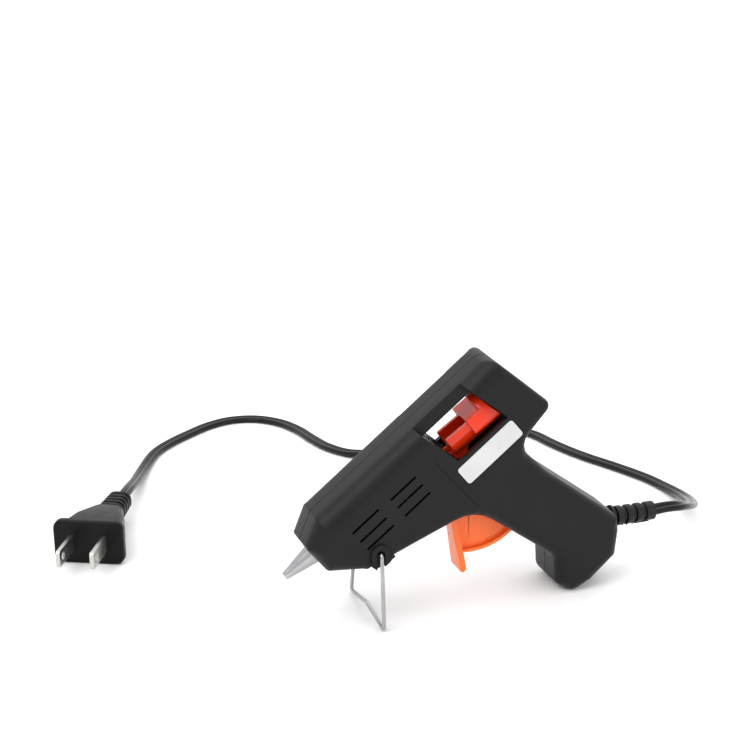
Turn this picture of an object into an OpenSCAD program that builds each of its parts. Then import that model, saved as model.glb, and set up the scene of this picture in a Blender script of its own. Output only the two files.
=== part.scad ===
// Small trigger-fed glue gun with a folding wire stand, a flat two-core lead and a two-blade plug.
// It rests on the stand and the heel of the handle. X runs from the nozzle to the handle, Z is up,
// Y = 0 is the seam between the two halves of the case, and the floor is Z = 0.

/* [Case] */
// Width of the case across the seam
case_w = 24.3; // [22.5:0.1:26]
// Thickness of the case wall
wall = 2; // [1.6:0.1:2.2]
// Angle at which the barrel points down
pitch = 38.15; // [38:0.05:38.3]

/* [Glue path] */
// Radius of the glue stick bore
stick_r = 3.75; // [3.6:0.05:3.8]
// Tilt of the glue path inside the barrel
stick_tilt = 3.78; // [3.5:0.01:4]
// Radius of the nozzle outlet
outlet_r = 0.9; // [0.6:0.1:1]

/* [Stand] */
// Diameter of the stand wire
wire_d = 1.4; // [1.2:0.1:1.5]
// Half width of the stand at its feet
foot_half = 18; // [17:0.5:20]

/* [Lead and plug] */
// Width of the flat lead
lead_w = 5; // [4.5:0.1:5]
// Thickness of the flat lead
lead_t = 2.5; // [2.2:0.1:2.5]
// Width of the plug face
plug_w = 27; // [25:0.5:29]
// Height of the plug face
plug_h = 17; // [16:0.5:17]

/* [Hidden] */
$fn = 48;

black = "#26262a";
orange = "#ff6a2a";
red_orange = "#f03410";
steel = "#c8c8cc";

half = case_w / 2;
inner_half = half - wall;
nose = [-58.15, 35.07];        // X and Z of the top front corner of the seam
stick_z = -12.6;               // height of the glue path under that corner
pivot = [55.2, -35];           // trigger pivot, in the barrel's X and Z
stand_pivot = [17.1, -24.1];   // stand pivot, in the barrel's X and Z
relief_at = [61.1, 21.45];     // where the lead leaves the handle, in standing X and Z
seam_groove = 0.25;

// Seam outline of the case in the barrel's X and Z, clockwise.
// Each corner has its radius and the rounding of the edge that follows it.
outline = [[9.7, 0, 3, 7.2], [89.5, 0, 4.5, 2.7], [95, -28.6, 2.7, 2.7], [76.9, -31.7, 6.3, 4.5],
           [78.9, -48.8, 36, 4.5], [86.9, -80.1, 2.7, 3.6], [83.5, -85.2, 2, 4],
           [77.4, -91.1, 2, 4], [64.8, -91.7, 2.5, 4], [57, -90.2, 4.5, 4.5],
           [54.5, -83.4, 3.6, 4.5], [60.9, -74.6, 5, 4.5], [50.8, -38, 15, 2.7],
           [9.5, -26, 2.7, 4.5], [0, -17, 1.8, 4.5], [0, -5.4, 1.8, 6.3]];
corners = len(outline);

// Frames and simple solids

module gun() {
    translate([nose[0], 0, nose[1]]) rotate([0, -pitch, 0]) children();
}

module along_stick() {
    gun() translate([0, 0, stick_z]) rotate([0, stick_tilt, 0]) children();
}

module x_rod(r, from, to) {
    translate([from, 0, 0]) rotate([0, 90, 0]) cylinder(r = r, h = to - from);
}

module y_rod(r, at, from, to) {
    translate([at[0], from, at[1]]) rotate([-90, 0, 0]) cylinder(r = r, h = to - from);
}

module side_plate(points, from, to) {
    translate([0, to, 0]) rotate([90, 0, 0]) linear_extrude(to - from) polygon(points);
}

module box(low, high) {
    translate(low) cube(high - low);
}

module rounded(w, h, r) {
    square([w - 2 * r, h], center = true);
    square([w, h - 2 * r], center = true);
    for (x = [-1, 1], y = [-1, 1]) translate([x * (w / 2 - r), y * (h / 2 - r)]) circle(r);
}

// Rounded outline of the case at any inset

function unit(v) = v / norm(v);
function mix(a, b, t) = a + (b - a) * t;
function right_of(v) = [v[1], -v[0]];
function spin(v, a) = [v[0] * cos(a) - v[1] * sin(a), v[0] * sin(a) + v[1] * cos(a)];
function row(i) = outline[(i + corners) % corners];
function at(i) = [row(i)[0], row(i)[1]];
function edge_dir(i) = unit(at(i + 1) - at(i));
function edge_round(i, inset) = max(row(i)[3] - inset, 0.6);
function edge_depth(i, inset, tip) = inset + edge_round(i, inset) * (1 - cos(tip));

// Corner i of the outline after both of its edges have moved inwards
function moved_corner(i, inset, tip) =
    let (n1 = right_of(edge_dir(i - 1)), n2 = right_of(edge_dir(i)),
         a = edge_depth(i - 1, inset, tip), b = edge_depth(i, inset, tip),
         det = n1[0] * n2[1] - n1[1] * n2[0])
    at(i) + [a * n2[1] - b * n1[1], b * n1[0] - a * n2[0]] / det;

// Points of a rounded corner as [x, y, z]; tip runs from 0 at the seam wall to 90 on the flat side
function corner_arc(i, inset, tip, steps) =
    let (d1 = edge_dir(i - 1), d2 = edge_dir(i), convex = cross(d1, d2) < 0, turn = acos(d1 * d2),
         depth = mix(edge_depth(i - 1, inset, tip), edge_depth(i, inset, tip), 0.5),
         r = convex ? max(row(i)[2] - depth, 0.3) : row(i)[2] + depth,
         first = moved_corner(i, inset, tip) - d1 * r * tan(turn / 2),
         arm = right_of(d1) * (convex ? -r : r))
    [for (k = [0:steps])
        let (p = first - arm + spin(arm, (convex ? -turn : turn) * k / steps),
             round = mix(edge_round(i - 1, inset), edge_round(i, inset), k / steps))
        [p[0], half - inset - round * (1 - sin(tip)), p[1]]];

function ring(inset, tip, steps) =
    [for (i = [0:corners - 1]) each corner_arc(i, inset, tip, steps)];
function flat_ring(inset, y, steps) = [for (p = ring(inset, 0, steps)) [p[0], y, p[2]]];

// Solid through rings that have the same number of points
module loft(rings) {
    n = len(rings[0]);
    last = len(rings) - 1;
    sides = [for (j = [0:last - 1], k = [0:n - 1])
        let (a = j * n + k, b = j * n + (k + 1) % n)
        each [[a, a + n, b + n], [a, b + n, b]]];
    polyhedron(points = [for (r = rings) each r],
               faces = concat([[for (k = [0:n - 1]) k]], sides,
                              [[for (k = [n - 1:-1:0]) last * n + k]]));
}

// One half of the case without its hollow, on the +Y side
module case_block() {
    loft(concat([flat_ring(0.2, 0, 4), flat_ring(0, seam_groove, 4)],
                [for (tip = [0:18:90]) ring(0, tip, 4)]));
}

module case_hollow() {
    loft(concat([flat_ring(wall, -1, 2)], [for (tip = [0:30:90]) ring(wall, tip, 2)]));
}

// Case

window = [[53.6, 1], [75.7, 1], [80.4, -19.5], [58.1, -19.5]];
band_half = 6.8;       // half width of the roof strip over the window
band_z = -5.2;         // underside of that strip
screw_spots = [[11.5, -22.7], [46, -29.5], [82, -26.6], [72, -60], [67, -84]];
spring_post = [75.5, -28.1];
vent_rows = [[32.4, 43.3, [-11.9, -15.9, -20.1]], [15.3, 26.7, [-11.3, -15.7, -19.7]]];
label_at = [68.1, -24.7];
label_size = [25.4, 7.3];

// Ribs, bulkheads and bosses that stand inside one half
module case_inside(side) {
    box([52.5, -1, band_z], [82, band_half, 0]);
    side_plate([[51.4, 0], [53.4, 0], [57.9, -19.8], [55.9, -19.8]], 0, half);
    side_plate([[76.1, 0], [78.1, 0], [82.8, -19.8], [80.8, -19.8]], 0, half);
    box([11.8, -1, -30], [13.4, half, 0]);
    box([38.4, -1, -19.5], [40, half, 0]);
    for (p = screw_spots) y_rod(2.4, p, 0, half);
    y_rod(3.9, pivot, 5, half);
    y_rod(0.6, spring_post, 0.1, half);
    translate([0, 0, stick_z]) rotate([0, stick_tilt, 0]) {
        difference() {
            x_rod(7.1, 49, 58.6);
            box([48, -3.7, -8], [60, 3.7, 0]);
        }
        box([86.5, -1, -9.5], [90.1, half, 12]);
    }
    if (side > 0) box([52, 8.8, -18.2], [83, half, -16.2]);
}

module vents() {
    for (v = vent_rows, z = v[2]) {
        translate([v[0], 0, z - 0.42]) cube([v[1] - v[0], half + 1, 0.85]);
        for (x = [v[0], v[1]]) y_rod(0.425, [x, z], 0, half + 1);
    }
}

function arch(r) = [for (a = [180:-15:0]) r * [cos(a), sin(a)]];

module at_stand_pivot() {
    translate([stand_pivot[0], 0, stand_pivot[1]]) rotate([0, pitch, 0]) children();
}

// Raised arch around the stand pivot, with a short wedge behind it
module stand_hood() {
    legs = concat(arch(3.35), [[3.35, -3.2], [1.6, -4.5], [-1.5, -5.6], [-3.35, -4.1]]);
    wedge = [[2.1, 2.3], [5.3, -1.5], [2.4, -4]];
    at_stand_pivot() {
        side_plate(legs, half - 3, half + 1);
        side_plate(wedge, half - 2.9, half + 0.7);
    }
}

// Recess under the arch in which the stand's leg swings
module stand_groove() {
    at_stand_pivot() side_plate(concat(arch(1.4), [[1.4, -7], [-1.4, -7]]), half - 0.3, half + 2);
}

// Everything that is cut through one half
module case_cuts(side) {
    side_plate(window, band_half, half + 1);
    intersection() {
        side_plate(window, -2, half + 1);
        box([50, -2, -21], [84, half + 1, band_z]);
    }
    vents();
    translate([0, 0, stick_z]) rotate([0, stick_tilt, 0]) {
        x_rod(4.05, -3, 9);
        x_rod(6.85, 9, 41);
        x_rod(5.35, 40, 52.8);
        x_rod(5.95, 52.5, 60);
        x_rod(4.1, 72, 84);
        x_rod(5.65, 83, 100, $fn = 48);
        x_rod(7.3, 87.9, 89.9);
    }
    trigger_slot();
    stand_groove();
    for (p = screw_spots) {
        y_rod(side > 0 ? 1.35 : 1.2, p, -1, side > 0 ? half + 1 : inner_half);
        if (side > 0) y_rod(2.15, p, half - 1.4, half + 1);
    }
    if (side < 0) {
        translate([label_at[0], half + 1, label_at[1]]) rotate([90, 0, 0])
            linear_extrude(1.25) rounded(label_size[0] + 0.7, label_size[1] + 0.7, 1.3);
    }
    side_plate([[51.45, -12.6], [51.75, -12.6], [52.75, -37], [52.45, -37]], half - 0.15, half + 1);
    rotate([0, pitch, 0]) relief_hole();
}

// Slot in the front of the handle through which the trigger's fan swings
module trigger_slot() {
    reach = 25.4;
    fan = [for (a = [-162:6:-48]) pivot + reach * [cos(a), sin(a)]];
    side_plate(concat([pivot + [3, 2]], [pivot + [-12, 2]], fan), -1, 5);
}

// Bore for the strain relief, drawn in axes parallel to the floor with the nose corner as origin
module relief_hole() {
    translate([relief_at[0] - nose[0], 0, relief_at[1] - nose[1]]) {
        x_rod(3.1, -8, 8);
        x_rod(4.3, -2.4, -0.8);
    }
}

module case_half(side) {
    color(black) gun() mirror([0, side > 0 ? 0 : 1, 0]) difference() {
        resize([0, 0, 0]) difference() {
            union() {
                case_block();
                stand_hood();
            }
            difference() {
                case_hollow();
                case_inside(side, $fn = 24);
            }
            case_cuts(side, $fn = 28);
        }
        y_rod(2.02, pivot, 3, inner_half + 0.6);
        y_rod(0.75, stand_pivot, half - 4, half + 3);
    }
}

module left_shell() {
    case_half(-1);
}

module right_shell() {
    case_half(1);
}

module case_screws() {
    color(steel) gun() for (p = screw_spots) {
        y_rod(1.2, p, -7, half - 1.4);
        difference() {
            y_rod(2.05, p, half - 1.4, half - 0.3);
            for (a = [0, 90]) translate([p[0], half - 0.6, p[1]]) rotate([0, a, 0])
                cube([2.4, 1, 0.45], center = true);
        }
    }
}

module rating_label() {
    color("white") gun() translate([label_at[0], -half + 0.25, label_at[1]]) rotate([90, 0, 0])
        linear_extrude(0.3) rounded(label_size[0], label_size[1], 1.1);
}

// Heating and glue path, along the glue stick

module turned(profile) {
    rotate([0, 90, 0]) rotate_extrude() polygon([for (p = profile) [p[1], p[0]]]);
}

module nozzle() {
    tip = -12.2;
    color("#b9bcc2") along_stick() turned([
        [tip, outlet_r], [tip, 1.3], [tip + 0.3, 1.5], [1, 3.85], [3.6, 3.85], [3.6, 4.6],
        [5.4, 4.6], [5.4, 3], [9, 3], [9, 2], [-2, 2], [tip + 3, outlet_r]]);
}

module melt_chamber() {
    color("#a8aab0") along_stick() {
        turned([[5.6, 3], [5.6, 4.5], [9.2, 4.5], [9.2, 6.8], [40, 6.8], [40, 4.6], [45.5, 4.6],
                [45.5, stick_r], [14, stick_r], [9, 3]]);
        difference() {
            box([16.5, -4.6, -12], [37.5, 4.6, -6]);
            box([16, -3.7, -11.1], [38, 3.7, -7.1]);
        }
    }
}

module heater_element() {
    color("#5b5f66") along_stick() box([19, -3, -10.25], [35, 3, -7.95]);
}

module heater_insulation() {
    color("#c98a2b") along_stick() difference() {
        box([17.5, -3.6, -11], [36.5, 3.6, -7.2]);
        box([17, -3.2, -10.75], [37, 3.2, -7.45]);
    }
}

// Contact strip with a tail for its lead
module electrode(z, tail_y) {
    box([18.5, -3, z], [36, 3, z + 0.4]);
    box([35.5, tail_y - 0.8, z], [39.5, tail_y + 0.8, z + 0.4]);
}

module upper_electrode() {
    color("goldenrod") along_stick() electrode(-7.9, 1.6);
}

module lower_electrode() {
    color("goldenrod") along_stick() electrode(-10.7, -1.6);
}

module inlet_sleeve() {
    color("#b5b0a4") along_stick() turned([
        [40.2, 4.65], [40.2, 5.9], [44.5, 5.9], [45.5, 5.2], [49.3, 5.2], [49.3, stick_r],
        [45.6, stick_r], [45.6, 4.65]]);
}

module sleeve_clamp() {
    color(steel) along_stick() {
        turned([[41.4, 5.95], [41.4, 6.4], [43.4, 6.4], [43.4, 5.95]]);
        box([41.4, -1.2, 6.2], [43.4, 1.2, 7.6]);
    }
}

module rear_collar() {
    color(black) along_stick() turned([
        [84, stick_r], [84, 5.6], [88, 5.6], [88, 7.1], [89.8, 7.1], [89.8, 5.6], [91.3, 5.6],
        [91.6, 5.3], [91.6, 4.1], [91.25, stick_r]]);
}

// Trigger and feed

module trigger_pivot() {
    color(steel) gun() y_rod(2, pivot, -inner_half - 0.5, inner_half + 0.5);
}

arm_half = 1.6;        // half thickness of the trigger's upper arm
fan_r = 24;
drive_spot = [58.1, -24.9];
hook_pin = [58.9, -28.1];      // where the return spring hooks onto the arm
spring_wire = 0.7;

function around_pivot(r, a) = pivot + r * [cos(a), sin(a)];

// Outline of the finger plate seen square on: full width at its end, narrower towards the case
module plate_taper() {
    translate([32.6, 0, -57.2]) rotate([0, -60.4, 0]) linear_extrude(16, center = true) polygon([
        [-2, -4.6], [7, -4.6], [16, -3.3], [30, -2.9], [30, 2.9], [16, 3.3], [7, 4.6], [-2, 4.6]]);
}

module trigger() {
    plate = [[44.9, -34.6], [32.9, -55.7], [33.3, -56.7], [34.3, -56.9], [35.2, -56.4],
             [47.2, -35.2]];
    web = concat([pivot], [[46, -34.9], [35.8, -52.9]],
                 [for (a = [-136:6:-76]) around_pivot(fan_r - 0.6, a)]);
    rim = concat([for (a = [-137:6:-77]) around_pivot(fan_r, a)],
                 [for (a = [-77:-6:-137]) around_pivot(fan_r - 1.3, a)]);
    color(orange) gun() {
        difference() {
            union() {
                y_rod(3.6, pivot, -4.5, 4.5);
                intersection() {
                    side_plate(plate, -4.6, 4.6);
                    plate_taper();
                }
                side_plate(web, -1, 1);
                side_plate(rim, -2.8, 2.8);
                side_plate([pivot + [-3.4, 1], drive_spot + [-2.4, 0.6], drive_spot + [2.4, 0.6],
                            pivot + [3.4, 1]], -arm_half, arm_half);
                y_rod(2.4, drive_spot, -arm_half, arm_half);
            }
            y_rod(2.06, pivot, -6, 6);
            y_rod(1.2, drive_spot, -6, 6);
            box([hook_pin[0] - 1.7, -0.6, hook_pin[1] - 1.75], [63, 0.6, hook_pin[1] + 1.75]);
        }
        y_rod(0.55, hook_pin, -arm_half + 0.4, arm_half - 0.4);
    }
}

module drive_pin() {
    color(steel) gun() y_rod(1.2, drive_spot, -3.3, 3.3);
}

module feed_carriage() {
    slot_x = drive_spot[0];
    color(red_orange) gun() difference() {
        union() {
            translate([0, 0, stick_z]) rotate([0, stick_tilt, 0]) {
                difference() {
                    x_rod(8.4, 69, 85);
                    box([68, -9, -9], [86, 9, -0.8]);
                }
                difference() {
                    x_rod(5.6, 59.6, 80);
                    x_rod(4.4, 59, 70);
                    box([59, -6, 2.8], [73, 6, 6]);
                }
            }
            for (y = [-2.9, 1.8]) side_plate([
                [slot_x - 2.3, -19], [slot_x - 2.3, -27.4], [slot_x + 2.3, -27.4],
                [slot_x + 8, -20]], y, y + 1.1);
        }
        translate([0, 0, stick_z]) rotate([0, stick_tilt, 0]) x_rod(stick_r, 50, 90);
        side_plate([[75.4, 0], [90, 0], [90, -30], [82.35, -30]], -10, 10);
        side_plate([[59, 0], [74.2, 0], [75.3, -12.6], [59, -12.6]], -10, 10);
        side_plate([[slot_x - 1.4, -23], [slot_x - 1.4, -26.7], [slot_x + 1.4, -26.7],
                    [slot_x + 1.4, -23]], -4, 4);
    }
}

// Extension spring from the hook pin on the trigger's arm to the post in the case
module return_spring() {
    coils = 15;
    coil_r = 1.3;
    step = 0.86;
    first = 60.9;
    per_turn = 12;
    helix = [for (k = [0:coils * per_turn]) let (a = 360 * k / per_turn)
        [first + step * k / per_turn, coil_r * cos(a), coil_r * sin(a)]];
    color(steel) gun() translate([0, 0, spring_post[1]]) resize([0, 0, 0]) {
        sweep(helix, spring_wire, spring_wire, 6, [1, 0, 0]);
        for (x = [hook_pin[0], spring_post[0]])
            translate([x, 0, 0]) rotate([90, 0, 0]) rotate_extrude($fn = 20)
                translate([1.1, 0]) circle(r = spring_wire / 2, $fn = 8);
        for (end = [[hook_pin[0] + 1, first], [first + coils * step, spring_post[0] - 1]])
            box([end[0], -0.3, -0.3], [end[1] + 0.1, coil_r + 0.2, 0.3]);
    }
}

// Sweeps

// Corners of a route replaced by arcs
function rounded_route(points, r) = let (last = len(points) - 1) [
    points[0],
    for (i = [1:last - 1])
        let (d1 = unit(points[i] - points[i - 1]), d2 = unit(points[i + 1] - points[i]),
             turn = acos(d1 * d2), inward = unit(d2 - d1 * (d1 * d2)),
             from = points[i] - d1 * r * tan(turn / 2))
        for (t = [0:0.25:1])
            from + d1 * r * sin(turn * t) + inward * r * (1 - cos(turn * t)),
    points[last]];

// Oval tube along a route; its width lies across the route and the up direction
module sweep(route, w, h, sides, up) {
    last = len(route) - 1;
    rings = [for (i = [0:last])
        let (t = unit(route[min(i + 1, last)] - route[max(i - 1, 0)]),
             s = unit(cross(up, t)), n = cross(t, s))
        [for (k = [0:sides - 1]) let (a = 360 * (k + 0.5) / sides)
            route[i] + s * w / 2 * cos(a) + n * h / 2 * sin(a)]];
    faces = [for (j = [0:last - 1], k = [0:sides - 1])
        let (a = j * sides + k, b = j * sides + (k + 1) % sides)
        each [[a, b + sides, b], [a, a + sides, b + sides]]];
    polyhedron(points = [for (r = rings) each r],
               faces = concat([[for (k = [0:sides - 1]) k]], faces,
                              [[for (k = [sides - 1:-1:0]) last * sides + k]]));
}

// Stand

stand_top = half + 1.75;   // half width of the stand at its pivot
stand_foot_x = -31;
stand_arch = 2.8;          // rise of the middle of the foot bar
pin_r = wire_d / 2 - 0.04;  // the wire's ends are slightly drawn down
pin_x = nose[0] + stand_pivot[0] * cos(pitch) - stand_pivot[1] * sin(pitch);
pin_z = nose[1] + stand_pivot[0] * sin(pitch) + stand_pivot[1] * cos(pitch);

module wire_stand() {
    foot_z = wire_d / 2 - 0.26;
    near = [[pin_x, half + 0.2, pin_z], [pin_x, stand_top, pin_z],
            [stand_foot_x, foot_half, foot_z]];
    far = [for (k = [2:-1:0]) [near[k][0], -near[k][1], near[k][2]]];
    color(steel) {
        sweep(rounded_route(concat(near, [[stand_foot_x, 0, foot_z + stand_arch]], far), 1.25),
              wire_d, wire_d, 12, [1, 0, 0]);
        for (from = [-half - 0.4, half - 2.6])
            y_rod(pin_r, [pin_x, pin_z], from, from + 3);
    }
}

// Lead, strain relief and plug

module strain_relief() {
    color(black) translate([relief_at[0], 0, relief_at[1]]) {
        x_rod(3, -6, 1);
        x_rod(4.2, -2.3, -0.9);
        x_rod(4.2, 0.1, 1.3);
        x_rod(2.3, 0.9, 17.25);
        for (k = [0:3]) x_rod(3.6 - 0.05 * k, 2.3 + 3.8 * k, 4.6 + 3.8 * k + (k == 3 ? 1.2 : 0));
        box([0.5, -1.3, -3.3], [14.5, 1.3, -1]);
    }
}

clamp_x = [50, 54];
lead_z = relief_at[1];

module cord_clamp() {
    color(black) difference() {
        box([clamp_x[0], -8.5, lead_z - 3.8], [clamp_x[1], 8.5, lead_z - 1.3]);
        for (y = [-6, 6]) translate([52, y, lead_z - 5]) cylinder(r = 1.2, h = 5);
    }
}

module clamp_screws() {
    color(steel) for (y = [-6, 6]) translate([52, y, lead_z - 5.1]) {
        cylinder(r = 2.1, h = 1.3);
        cylinder(r = 1.15, h = 7);
    }
}

// Bared ends of the lead's cores inside the handle, then the wires up to the heater
module wire_crimps() {
    color(steel) for (y = [-1.6, 1.6]) translate([0, y, lead_z]) {
        x_rod(1.1, 43, 47.5);
        x_rod(0.8, 47.4, 55);
    }
}

crimp_end = [43, lead_z];  // standing X and Z of the crimps' far end

function to_barrel(x, z) = let (u = x - nose[0], w = z - nose[1])
    [u * cos(pitch) + w * sin(pitch), -u * sin(pitch) + w * cos(pitch)];

// Wire in the barrel's frame; side is -1 or 1, tail_y and tail_z are where its contact strip ends
module heater_wire(side, tail_y, tail_z) {
    start = to_barrel(crimp_end[0], crimp_end[1]);
    lower = to_barrel(crimp_end[0] - 4, crimp_end[1] + 1.5);
    sweep(rounded_route([
        [start[0], side * 1.6, start[1]], [lower[0], side * 2.4, lower[1]],
        [78, side * 6.5, -66], [76.8, side * 8, -57], [73, side * 8, -45], [65, side * 8, -36],
        [56, side * 8, -25.6],
        [46, side * 8, tail_z + 1], [41.5, tail_y * 2.4, tail_z + 0.3], [38.6, tail_y, tail_z]], 1.5),
        1.5, 1.5, 8, [0, 1, 0]);
}

module lead_live() {
    color("#8a2f22") gun() heater_wire(1, 1.6, -22.8);
}

module lead_neutral() {
    color("#20406a") gun() heater_wire(-1, -1.6, -25.7);
}

// Lead outside the case: from the relief to the coil, the coil, and from the coil to the plug
lead_start = [[78.4, 0, 21.5], [84, 0.8, 21.4], [89, 2, 20.6], [93, 4.8, 19.1], [97, 9, 17],
              [101, 14.5, 14.4], [105, 21, 11.6], [109, 29, 8.8], [112.5, 38.5, 6], [114.8, 48, 3.7],
              [115.6, 57, 2.2], [115, 66, 1.4], [113, 75, 1.3], [109.6, 84.5, 1.3],
              [105.5, 94.5, 1.3], [101, 104.5, 1.3], [97, 115.5, 1.3], [93.8, 127, 1.3],
              [90.9, 139.4, 1.3], [84, 150, 1.3], [73, 155.2, 1.3], [62.5, 153.8, 1.3],
              [53, 146.8, 1.3], [43, 137.8, 1.3], [33, 128.8, 1.3], [24, 120.6, 1.3]];
lead_end = [[47, 122.1, 4.1], [40, 126.2, 4.3], [33, 130.3, 4.5], [25, 135, 4.3], [17, 140.6, 2.8],
            [9.5, 148.5, 1.5], [4, 159, 1.3], [1, 171, 1.3], [-1.5, 184, 1.3], [-6.5, 196, 1.3],
            [-15, 204.5, 1.3], [-26, 207, 1.3], [-37, 203.5, 1.3], [-47, 196.8, 1.3],
            [-57, 189, 1.3], [-65.5, 180, 1.3], [-72, 168, 1.5], [-77.5, 155, 2.7],
            [-83, 140, 5.2], [-88.6, 126.5, 7.6], [-93.6, 115.7, 8.4]];
coil_at = [38, 92];
coil_r = 28;
turns_across = 2;
layer_step = 2.75;

module cord_run() {
    color(black) sweep(lead_start, lead_w, lead_t, 8, [0, 0, 1]);
}

module cord_coil() {
    out = turns_across * lead_w / 2 + 0.2;
    high = layer_step + lead_t + 0.1;
    color(black) translate([coil_at[0], coil_at[1], 0.05]) rotate_extrude() polygon([
        [coil_r - out, 0.6], [coil_r - out + 0.6, 0], [coil_r + out - 0.6, 0], [coil_r + out, 0.6],
        [coil_r + out, high - 0.6], [coil_r + out - 0.6, high], [coil_r - out + 0.6, high],
        [coil_r - out, high - 0.6]]);
}

module cord_tail() {
    color(black) sweep(lead_end, lead_w, lead_t, 8, [0, 0, 1]);
}

// Twist tie around the coil's turns, on the side away from the lead's ends
module cord_tie() {
    out = turns_across * lead_w / 2 + 1.1;
    high = layer_step + lead_t + 1;
    color("#303034") translate([coil_at[0], coil_at[1], 0]) rotate([0, 0, -60])
        translate([coil_r, 0, 0]) difference() {
            box([-out, -1.5, 0.01], [out, 1.5, high]);
            box([-out + 0.8, -2, 0.05], [out - 0.8, 2, high - 0.8]);
        }
}

plug_face = [-114, 77.2];
plug_z = plug_h / 2;
plug_turn = 62;            // heading from the blades to the lead

// Plug axes: X runs from the face towards the lead, Y across the face
module plug_frame() {
    translate([plug_face[0], plug_face[1], plug_z]) rotate([0, 0, plug_turn]) children();
}

module slab(at_x, w, h, r, thick) {
    translate([at_x, 0, 0]) rotate([90, 0, 90]) linear_extrude(thick) rounded(w, h, r, $fn = 24);
}

module plug_body() {
    color(black) plug_frame() {
        hull() {
            slab(0, plug_w - 1.2, plug_h - 1.2, 3.2, 0.2);
            slab(0.7, plug_w, plug_h, 3.6, 2.4);
        }
        hull() {
            slab(2, plug_w - 3.4, plug_h - 2.6, 3.2, 1);
            slab(14, 20, 13.2, 3.6, 0.4);
        }
        hull() {
            slab(14, 20, 13.2, 3.6, 0.4);
            slab(26, 12, 9.4, 3, 0.4);
        }
        slab(25.8, 8.4, 6.6, 3.1, 17.4);
        for (k = [0:4]) slab(28 + 3.1 * k, 10.4 - 0.25 * k, 8.4 - 0.2 * k, 3.2, 1.9);
    }
}

module plug_blades() {
    color(steel) plug_frame() for (y = [-6.35, 6.35]) difference() {
        translate([-16.5, y, 0]) rotate([90, 0, 0]) linear_extrude(1.5, center = true)
            polygon([[0.6, -3.175], [-0, -2.4], [0, 2.4], [0.6, 3.175], [20, 3.175], [20, -3.175]]);
        y_rod(1.5, [-12.5, 0], y - 2, y + 2);
    }
}

left_shell();
right_shell();
case_screws();
rating_label();
nozzle();
melt_chamber();
heater_element();
heater_insulation();
upper_electrode();
lower_electrode();
inlet_sleeve();
sleeve_clamp();
rear_collar();
trigger_pivot();
trigger();
drive_pin();
feed_carriage();
return_spring();
wire_stand();
strain_relief();
cord_clamp();
clamp_screws();
lead_live();
lead_neutral();
wire_crimps();
cord_run();
cord_coil();
cord_tail();
cord_tie();
plug_body();
plug_blades();
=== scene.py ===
"""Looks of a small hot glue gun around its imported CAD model. Metres, row frame, floor at Z = 0."""
import math

import bmesh
import bpy
from mathutils import Matrix, Vector


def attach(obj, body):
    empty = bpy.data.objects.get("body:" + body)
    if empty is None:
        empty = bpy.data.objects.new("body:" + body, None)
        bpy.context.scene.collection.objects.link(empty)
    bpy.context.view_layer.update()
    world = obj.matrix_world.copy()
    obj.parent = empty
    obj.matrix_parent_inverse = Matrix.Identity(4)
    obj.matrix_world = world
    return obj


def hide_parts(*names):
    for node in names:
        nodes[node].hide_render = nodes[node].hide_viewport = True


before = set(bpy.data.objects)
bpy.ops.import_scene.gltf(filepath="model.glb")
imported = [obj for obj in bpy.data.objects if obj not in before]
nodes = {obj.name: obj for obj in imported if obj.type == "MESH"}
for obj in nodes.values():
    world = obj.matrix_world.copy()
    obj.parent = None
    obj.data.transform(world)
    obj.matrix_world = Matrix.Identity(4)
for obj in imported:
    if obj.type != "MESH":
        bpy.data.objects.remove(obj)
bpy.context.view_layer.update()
MM = 0.001


# Camera

CAMERA_AT = (-0.226, -0.6054, 0.2995)
CAMERA_YAW, CAMERA_DOWN, CAMERA_ROLL = 18, 18.2, -1.55
CAMERA_LENS = 98.5


def make_camera():
    yaw, down, roll = (math.radians(a) for a in (CAMERA_YAW, CAMERA_DOWN, CAMERA_ROLL))
    forward = Vector((math.sin(yaw) * math.cos(down), math.cos(yaw) * math.cos(down), -math.sin(down)))
    right = Vector((math.cos(yaw), -math.sin(yaw), 0))
    up = right.cross(forward)
    side = right * math.cos(roll) + up * math.sin(roll)
    top = up * math.cos(roll) - right * math.sin(roll)
    camera = bpy.data.objects.new("camera", bpy.data.cameras.new("camera"))
    camera.data.lens = CAMERA_LENS
    camera.data.sensor_width = 36
    camera.data.clip_start = 0.01
    matrix = Matrix((side, top, -forward)).transposed().to_4x4()
    matrix.translation = CAMERA_AT
    camera.matrix_world = matrix
    bpy.context.collection.objects.link(camera)
    bpy.context.scene.camera = camera


# Mesh helpers

SOFT_ANGLE, CRISP_ANGLE = 32, 29


def new_mesh(name, verts, faces, smooth_angle=40):
    mesh = bpy.data.meshes.new(name)
    mesh.from_pydata([tuple(v) for v in verts], [], faces)
    fixer = bmesh.new()
    fixer.from_mesh(mesh)
    bmesh.ops.recalc_face_normals(fixer, faces=fixer.faces)
    fixer.to_mesh(mesh)
    fixer.free()
    mesh.polygons.foreach_set("use_smooth", [True] * len(mesh.polygons))
    mesh.set_sharp_from_angle(angle=math.radians(smooth_angle))
    piece = bpy.data.objects.new(name, mesh)
    bpy.context.collection.objects.link(piece)
    return piece


def sweep(name, path, profile, up=Vector((0, 0, 1)), roll=None, smooth_angle=60):
    """Tube along a path in metres; profile is a closed list of (across, up) points."""
    verts, count, last = [], len(profile), len(path) - 1
    for i, p in enumerate(path):
        along = (path[min(i + 1, last)] - path[max(i - 1, 0)]).normalized()
        across = up.cross(along).normalized()
        over = along.cross(across)
        turn = roll(i) if roll else 0.0
        a, b = math.cos(turn), math.sin(turn)
        for u, w in profile:
            verts.append(p + across * (u * a - w * b) + over * (u * b + w * a))
    faces = [(i * count + k, i * count + (k + 1) % count, (i + 1) * count + (k + 1) % count,
              (i + 1) * count + k) for i in range(last) for k in range(count)]
    faces += [tuple(range(count)), tuple(range(last * count, (last + 1) * count))]
    return new_mesh(name, verts, faces, smooth_angle)


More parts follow.
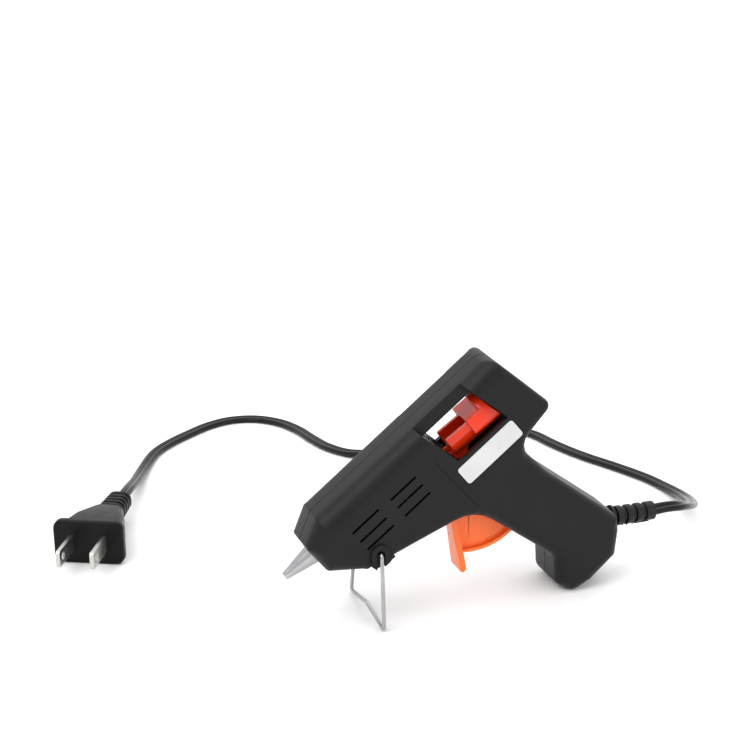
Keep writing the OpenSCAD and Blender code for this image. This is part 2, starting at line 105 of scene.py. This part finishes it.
def circle(r, sides):
    return [(r * math.cos(2 * math.pi * k / sides), r * math.sin(2 * math.pi * k / sides))
            for k in range(sides)]


def smooth_path(points, step):
    """Catmull-Rom curve through the points, with a point about every step metres."""
    out = []
    ends = [points[0] * 2 - points[1], *points, points[-1] * 2 - points[-2]]
    for i in range(1, len(ends) - 2):
        a, b, c, d = ends[i - 1:i + 3]
        n = max(2, round((c - b).length / step))
        for k in range(n):
            t = k / n
            out.append(0.5 * ((2 * b) + (c - a) * t + (2 * a - 5 * b + 4 * c - d) * t * t
                              + (3 * b - a - 3 * c + d) * t ** 3))
    return out + [ends[-2]]


def corner_path(points, r, steps=8):
    """Straight runs with arcs of radius r at the inner points."""
    out = [points[0]]
    for a, b, c in zip(points, points[1:], points[2:]):
        d1, d2 = (b - a).normalized(), (c - b).normalized()
        turn = d1.angle(d2)
        inward = (d2 - d1 * d1.dot(d2)).normalized()
        start = b - d1 * r * math.tan(turn / 2)
        out += [start + d1 * r * math.sin(turn * k / steps) + inward * r * (1 - math.cos(turn * k / steps))
                for k in range(steps + 1)]
    return out + [points[-1]]


def soften(piece, width):
    """Round the edges that turn by more than SOFT_ANGLE degrees."""
    bevel = piece.modifiers.new("soft_edges", "BEVEL")
    bevel.width = width
    bevel.segments = 2
    bevel.limit_method = "ANGLE"
    bevel.angle_limit = math.radians(SOFT_ANGLE)
    bevel.harden_normals = False
    bevel.use_clamp_overlap = False


# Materials

GRAIN_DEPTH = 0.0002
CLOUD_SCALE, PATCH_SCALE = 60, 220


def shader(name, color, roughness, **sockets):
    material = bpy.data.materials.new(name)
    material.use_nodes = True
    bsdf = material.node_tree.nodes["Principled BSDF"]
    bsdf.inputs["Base Color"].default_value = (*color, 1)
    bsdf.inputs["Roughness"].default_value = roughness
    for key, value in sockets.items():
        bsdf.inputs[key.replace("_", " ")].default_value = value
    return material, bsdf


def noise(material, scale, detail=3, rough=0.55):
    tree = material.node_tree
    place = tree.nodes.new("ShaderNodeTexCoord")
    made = tree.nodes.new("ShaderNodeTexNoise")
    made.inputs["Scale"].default_value = scale
    made.inputs["Detail"].default_value = detail
    made.inputs["Roughness"].default_value = rough
    tree.links.new(place.outputs["Object"], made.inputs["Vector"])
    return made.outputs["Fac"]


def spread(material, source, low, high):
    """Map the middle of a noise to a range from low to high."""
    tree = material.node_tree
    made = tree.nodes.new("ShaderNodeMapRange")
    made.inputs["From Min"].default_value = 0.3
    made.inputs["From Max"].default_value = 0.7
    made.inputs["To Min"].default_value = low
    made.inputs["To Max"].default_value = high
    tree.links.new(source, made.inputs["Value"])
    return made.outputs["Result"]


def tint(material, source, low, high):
    """Blend from one colour to another along a noise."""
    tree = material.node_tree
    ramp = tree.nodes.new("ShaderNodeValToRGB")
    ramp.color_ramp.elements[0].position = 0.35
    ramp.color_ramp.elements[1].position = 0.65
    ramp.color_ramp.elements[0].color = (*low, 1)
    ramp.color_ramp.elements[1].color = (*high, 1)
    tree.links.new(source, ramp.inputs["Fac"])
    return ramp.outputs["Color"]


def relief(material, source, strength, bsdf):
    """Raise the surface by a noise and return the bump node."""
    tree = material.node_tree
    bump = tree.nodes.new("ShaderNodeBump")
    bump.inputs["Strength"].default_value = strength
    bump.inputs["Distance"].default_value = GRAIN_DEPTH
    tree.links.new(source, bump.inputs["Height"])
    tree.links.new(bump.outputs["Normal"], bsdf.inputs["Normal"])
    return bump


def surface(name, low, high, roughness, grain, bump, scratch=0.05, edge=0, **sockets):
    """Plastic, rubber or metal with slightly varied colour, gloss and a fine grain; edge is in mm."""
    material, bsdf = shader(name, high, roughness, **sockets)
    links = material.node_tree.links
    cloud = noise(material, CLOUD_SCALE, 4)
    links.new(tint(material, cloud, low, high), bsdf.inputs["Base Color"])
    patch = noise(material, PATCH_SCALE, 5, 0.6)
    links.new(spread(material, patch, roughness - scratch, roughness + scratch), bsdf.inputs["Roughness"])
    bump_node = relief(material, noise(material, grain, 2, 0.5), bump, bsdf)
    if edge:
        round_edge = material.node_tree.nodes.new("ShaderNodeBevel")
        round_edge.inputs["Radius"].default_value = edge * MM
        round_edge.samples = 6
        links.new(round_edge.outputs["Normal"], bump_node.inputs["Normal"])
    return material


def make_materials():
    """Each row: colours from and to, roughness, grain scale, grain strength, spread of the gloss."""
    m = {}
    m["case"] = surface("case_plastic", (0.0045, 0.0045, 0.005), (0.006, 0.006, 0.0065), 0.42, 2600,
                        0.16, 0.03, edge=0.3, Specular_IOR_Level=0.22)
    m["collar"] = surface("collar_plastic", (0.006, 0.006, 0.0065), (0.009, 0.009, 0.0095), 0.38, 1500,
                          0.08, Specular_IOR_Level=0.25)
    m["trigger"] = surface("trigger_plastic", (1.0, 0.15, 0.012), (1.0, 0.18, 0.018), 0.3, 1300, 0.05,
                           0.04, Subsurface_Weight=0.5, Subsurface_Scale=0.004,
                           Subsurface_Radius=(1, 0.35, 0.12), Specular_IOR_Level=0.5)
    m["carriage"] = surface("carriage_plastic", (0.78, 0.03, 0.004), (0.86, 0.04, 0.006), 0.2, 900,
                            0.03, 0.04, Subsurface_Weight=0.15, Subsurface_Scale=0.002,
                            Subsurface_Radius=(1, 0.2, 0.08))
    m["nozzle"] = surface("nozzle_metal", (0.36, 0.36, 0.37), (0.5, 0.5, 0.51), 0.2, 700, 0.05, 0.06,
                          Metallic=1)
    m["metal"] = surface("steel", (0.5, 0.5, 0.52), (0.62, 0.62, 0.64), 0.3, 900, 0.06, 0.08,
                         Metallic=1)
    m["wire"] = surface("stand_wire", (0.3, 0.3, 0.31), (0.42, 0.42, 0.43), 0.18, 500, 0.03, 0.05,
                        Metallic=1)
    m["rubber"] = surface("relief_rubber", (0.003, 0.003, 0.0033), (0.005, 0.005, 0.0053), 0.4, 1800,
                          0.1, Specular_IOR_Level=0.3)
    m["lead"] = surface("lead_vinyl", (0.003, 0.003, 0.0033), (0.005, 0.005, 0.0055), 0.26, 1400, 0.06,
                        0.06, Specular_IOR_Level=0.22)
    m["plug"] = surface("plug_vinyl", (0.003, 0.003, 0.0033), (0.0045, 0.0045, 0.005), 0.36, 2000, 0.1,
                        0.05, Specular_IOR_Level=0.14)
    m["blade"] = surface("blade_metal", (0.5, 0.49, 0.47), (0.64, 0.63, 0.6), 0.34, 800, 0.04, 0.06,
                         Metallic=1)
    m["label"] = surface("label_paper", (0.56, 0.56, 0.56), (0.62, 0.62, 0.62), 0.45, 1500, 0.03)
    m["tie"] = surface("tie_plastic", (0.02, 0.02, 0.022), (0.04, 0.04, 0.042), 0.35, 900, 0.05)
    m["ceramic"] = surface("heater_ceramic", (0.2, 0.2, 0.21), (0.3, 0.3, 0.31), 0.7, 900, 0.3)
    m["film"] = surface("film", (0.6, 0.3, 0.05), (0.75, 0.4, 0.08), 0.25, 400, 0.05)
    m["brass"] = surface("contact_brass", (0.65, 0.48, 0.2), (0.75, 0.58, 0.26), 0.3, 700, 0.05,
                         Metallic=1)
    m["silicone"] = surface("sleeve_rubber", (0.5, 0.48, 0.42), (0.62, 0.6, 0.54), 0.6, 700, 0.1)
    m["cast"] = surface("cast_metal", (0.5, 0.5, 0.52), (0.62, 0.62, 0.64), 0.42, 1200, 0.25,
                        Metallic=1)
    m["red_wire"] = surface("wire_red", (0.3, 0.02, 0.012), (0.4, 0.03, 0.015), 0.35, 900, 0.05)
    m["blue_wire"] = surface("wire_blue", (0.02, 0.05, 0.2), (0.03, 0.07, 0.3), 0.35, 900, 0.05)
    return m


LOOKS = {
    "left_shell": "case", "right_shell": "case", "case_screws": "metal", "rating_label": "label",
    "nozzle": "nozzle", "melt_chamber": "cast", "heater_element": "ceramic", "heater_insulation": "film",
    "upper_electrode": "brass", "lower_electrode": "brass", "inlet_sleeve": "silicone",
    "sleeve_clamp": "metal", "rear_collar": "collar", "trigger_pivot": "metal", "trigger": "trigger",
    "drive_pin": "metal", "feed_carriage": "carriage", "return_spring": "metal", "wire_stand": "wire",
    "strain_relief": "rubber", "cord_clamp": "collar", "clamp_screws": "metal", "lead_live": "red_wire",
    "lead_neutral": "blue_wire", "wire_crimps": "metal", "cord_run": "lead", "cord_coil": "lead",
    "cord_tail": "lead", "cord_tie": "tie", "plug_body": "plug", "plug_blades": "blade"}


def paint(piece, material):
    piece.data.materials.clear()
    piece.data.materials.append(material)


# Edge radius in mm of the carried-over pieces that keep their own mesh
EDGES = {"trigger": 0.3, "feed_carriage": 0.3, "nozzle": 0.12,
         "rear_collar": 0.2, "strain_relief": 0.35, "plug_body": 0.4, "plug_blades": 0.15, "cord_tie": 0.2,
         "case_screws": 0.1, "rating_label": 0.06, "clamp_screws": 0.1, "cord_clamp": 0.2}


def finish_node(name, node):
    """Paint a CAD node, and give it soft edges and clean shading."""
    paint(node, looks[LOOKS[name]])
    if "custom_normal" in node.data.attributes:
        node.data.attributes.remove(node.data.attributes["custom_normal"])
    weld = node.modifiers.new("weld", "WELD")
    weld.merge_threshold = 1e-6
    if name in EDGES:
        soften(node, EDGES[name] * MM)
    split = node.modifiers.new("crisp", "EDGE_SPLIT")
    split.split_angle = math.radians(CRISP_ANGLE)
    node.modifiers.new("even", "WEIGHTED_NORMAL").keep_sharp = True
    node.data.polygons.foreach_set("use_smooth", [True] * len(node.data.polygons))


# The lead: from the strain relief to the coil behind the gun, the coil, and on to the plug

LEAD_W, LEAD_T, LEAD_WEB = 5.0, 2.5, 0.5
LEAD_TWIST, TWIST_STEPS, LEAD_STEP = 20, 18, 2.2
FIT_ACROSS, FIT_UP = 0.985, 0.97  # the lead is drawn a little under LEAD_W and LEAD_T
LEAD_START = [
    (78.4, 0, 21.5), (84, 0.8, 21.4), (89, 2, 20.6), (93, 4.8, 19.1), (97, 9, 17), (101, 14.5, 14.4),
    (105, 21, 11.6), (109, 29, 8.8), (112.5, 38.5, 6), (114.8, 48, 3.7), (115.6, 57, 2.2), (115, 66, 1.4),
    (113, 75, 1.3), (109.6, 84.5, 1.3), (105.5, 94.5, 1.3), (101, 104.5, 1.3), (97, 115.5, 1.3),
    (93.8, 127, 1.3), (90.9, 139.4, 1.3), (84, 150, 1.3), (73, 155.2, 1.3), (62.5, 153.8, 1.3),
    (53, 146.8, 1.3), (43, 137.8, 1.3), (33, 128.8, 1.3), (24, 120.6, 1.3)]
LEAD_END = [
    (47, 122.1, 4.1), (40, 126.2, 4.3), (33, 130.3, 4.5), (25, 135, 4.3), (17, 140.6, 2.8),
    (9.5, 148.5, 1.5), (4, 159, 1.3), (1, 171, 1.3), (-1.5, 184, 1.3), (-6.5, 196, 1.3),
    (-15, 204.5, 1.3), (-26, 207, 1.3), (-37, 203.5, 1.3), (-47, 196.8, 1.3), (-57, 189, 1.3),
    (-65.5, 180, 1.3), (-72, 168, 1.5), (-77.5, 155, 2.7), (-83, 140, 5.2), (-88.6, 126.5, 7.6),
    (-93.6, 115.7, 8.4)]
COIL_AT = (38, 92)
COIL_OUT, COIL_IN = 30.6, 25.4
COIL_START, COIL_SWEEP, COIL_STEPS = 132.2, 1367.8, 92
LAYER_LOW, LAYER_HIGH = 1.35, 4.05
# Shares of the coil's length: straight at each end, winding across, start and length of the step up
WIND_FROM, WIND_LONG, STEP_FROM, STEP_LONG = 0.04, 0.42, 0.47, 0.06


def coil_points():
    """Two turns winding inwards, a step up, and nearly two turns winding outwards on top."""
    points = []
    for k in range(COIL_STEPS + 1):
        t = k / COIL_STEPS
        inward = min(max((min(t, 1 - t) - WIND_FROM) / WIND_LONG, 0), 1)
        r = COIL_OUT + (COIL_IN - COIL_OUT) * inward
        lift = min(max((t - STEP_FROM) / STEP_LONG, 0), 1)
        z = LAYER_LOW + (LAYER_HIGH - LAYER_LOW) * (lift * lift * (3 - 2 * lift))
        a = math.radians(COIL_START + COIL_SWEEP * t)
        points.append((COIL_AT[0] + r * math.cos(a), COIL_AT[1] + r * math.sin(a), z))
    return points


def make_lead():
    """Flat two-core lead: two round lobes with a thin web between them."""
    route = [Vector(p) * MM for p in LEAD_START + coil_points() + LEAD_END]
    path = smooth_path(route, LEAD_STEP * MM)
    lobe, out = LEAD_T / 2, LEAD_W / 2
    half = [(out - lobe + lobe * math.cos(math.radians(a)), lobe * math.sin(math.radians(a)))
            for a in range(-120, 121, 20)]
    profile = half + [(0, LEAD_WEB)] + [(-u, w) for u, w in reversed(half)] + [(0, -LEAD_WEB)]
    profile = [(u * MM * FIT_ACROSS, w * MM * FIT_UP) for u, w in profile]

    def twist(i):
        return math.radians(LEAD_TWIST) * max(0, 1 - i / TWIST_STEPS)

    lead = sweep("lead", path, profile, roll=twist, smooth_angle=50)
    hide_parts("cord_run", "cord_coil", "cord_tail")
    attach(lead, "case")
    return lead, path


# Stand

STAND_HALF, FOOT_HALF, CASE_HALF = 13.9, 18.0, 12.15
STAND_PIVOT = (-29.816, 26.68)
HOOK_DEPTH, BEND_R = 2.6, 1.3
STAND_FOOT_X, FOOT_Z, FOOT_RISE, WIRE_R = -31.0, 0.71, 2.8, 0.7


def make_stand():
    """One bent wire: hooked into both shells, with a raised middle between its two feet."""
    x, z = STAND_PIVOT
    near = [(x, CASE_HALF - HOOK_DEPTH, z), (x, STAND_HALF, z), (STAND_FOOT_X, FOOT_HALF, FOOT_Z)]
    far = [(p[0], -p[1], p[2]) for p in reversed(near)]
    corners = [Vector(p) * MM for p in near + [(STAND_FOOT_X, 0, FOOT_Z + FOOT_RISE)] + far]
    path = corner_path(corners, BEND_R * MM, 10)
    stand = sweep("stand_wire", path, circle(WIRE_R * MM, 20), up=Vector((1, 0, 0)), smooth_angle=60)
    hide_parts("wire_stand")
    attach(stand, "stand")
    return stand


# Stage and light

FLOOR_HALF = 5
LIGHTS = {  # place, aim, size, watts
    "overhead": ((0, 0.9, 1.6), (0, 0.5, 0), (3.4, 3.0), 26),
    "key": ((-0.55, -0.35, 0.8), (0, 0.03, 0.03), (0.6, 0.5), 3),
    "fill": ((0.6, -0.9, 0.5), (0, 0.03, 0.03), (0.6, 0.6), 1.2)}


def make_stage():
    e = FLOOR_HALF
    floor = new_mesh("floor", [(-e, -e, 0), (e, -e, 0), (e, e, 0), (-e, e, 0)], [(0, 1, 2, 3)])
    material, bsdf = shader("floor_white", (0.95, 0.95, 0.95), 0.6, Specular_IOR_Level=0.2)
    fine = noise(material, 30, 2)
    material.node_tree.links.new(tint(material, fine, (0.945, 0.945, 0.945), (0.955, 0.955, 0.955)),
                                 bsdf.inputs["Base Color"])
    paint(floor, material)
    world = bpy.data.worlds.new("studio")
    world.use_nodes = True
    back = world.node_tree.nodes["Background"]
    back.inputs["Color"].default_value = (1, 1, 1, 1)
    back.inputs["Strength"].default_value = 1.0
    bpy.context.scene.world = world
    bpy.context.scene.view_settings.view_transform = "Standard"


def area_light(name, at, aim, size, power):
    light = bpy.data.lights.new(name, "AREA")
    light.shape = "RECTANGLE"
    light.size, light.size_y = size
    light.energy = power
    lamp = bpy.data.objects.new(name, light)
    lamp.location = at
    lamp.rotation_mode = "QUATERNION"
    lamp.rotation_quaternion = (Vector(at) - Vector(aim)).to_track_quat("Z", "Y")
    bpy.context.collection.objects.link(lamp)


make_camera()
looks = make_materials()
for node_name, node in nodes.items():
    finish_node(node_name, node)
lead, lead_path = make_lead()
paint(lead, looks["lead"])
stand = make_stand()
paint(stand, looks["wire"])
make_stage()
for light_name, settings in LIGHTS.items():
    area_light(light_name, *settings)
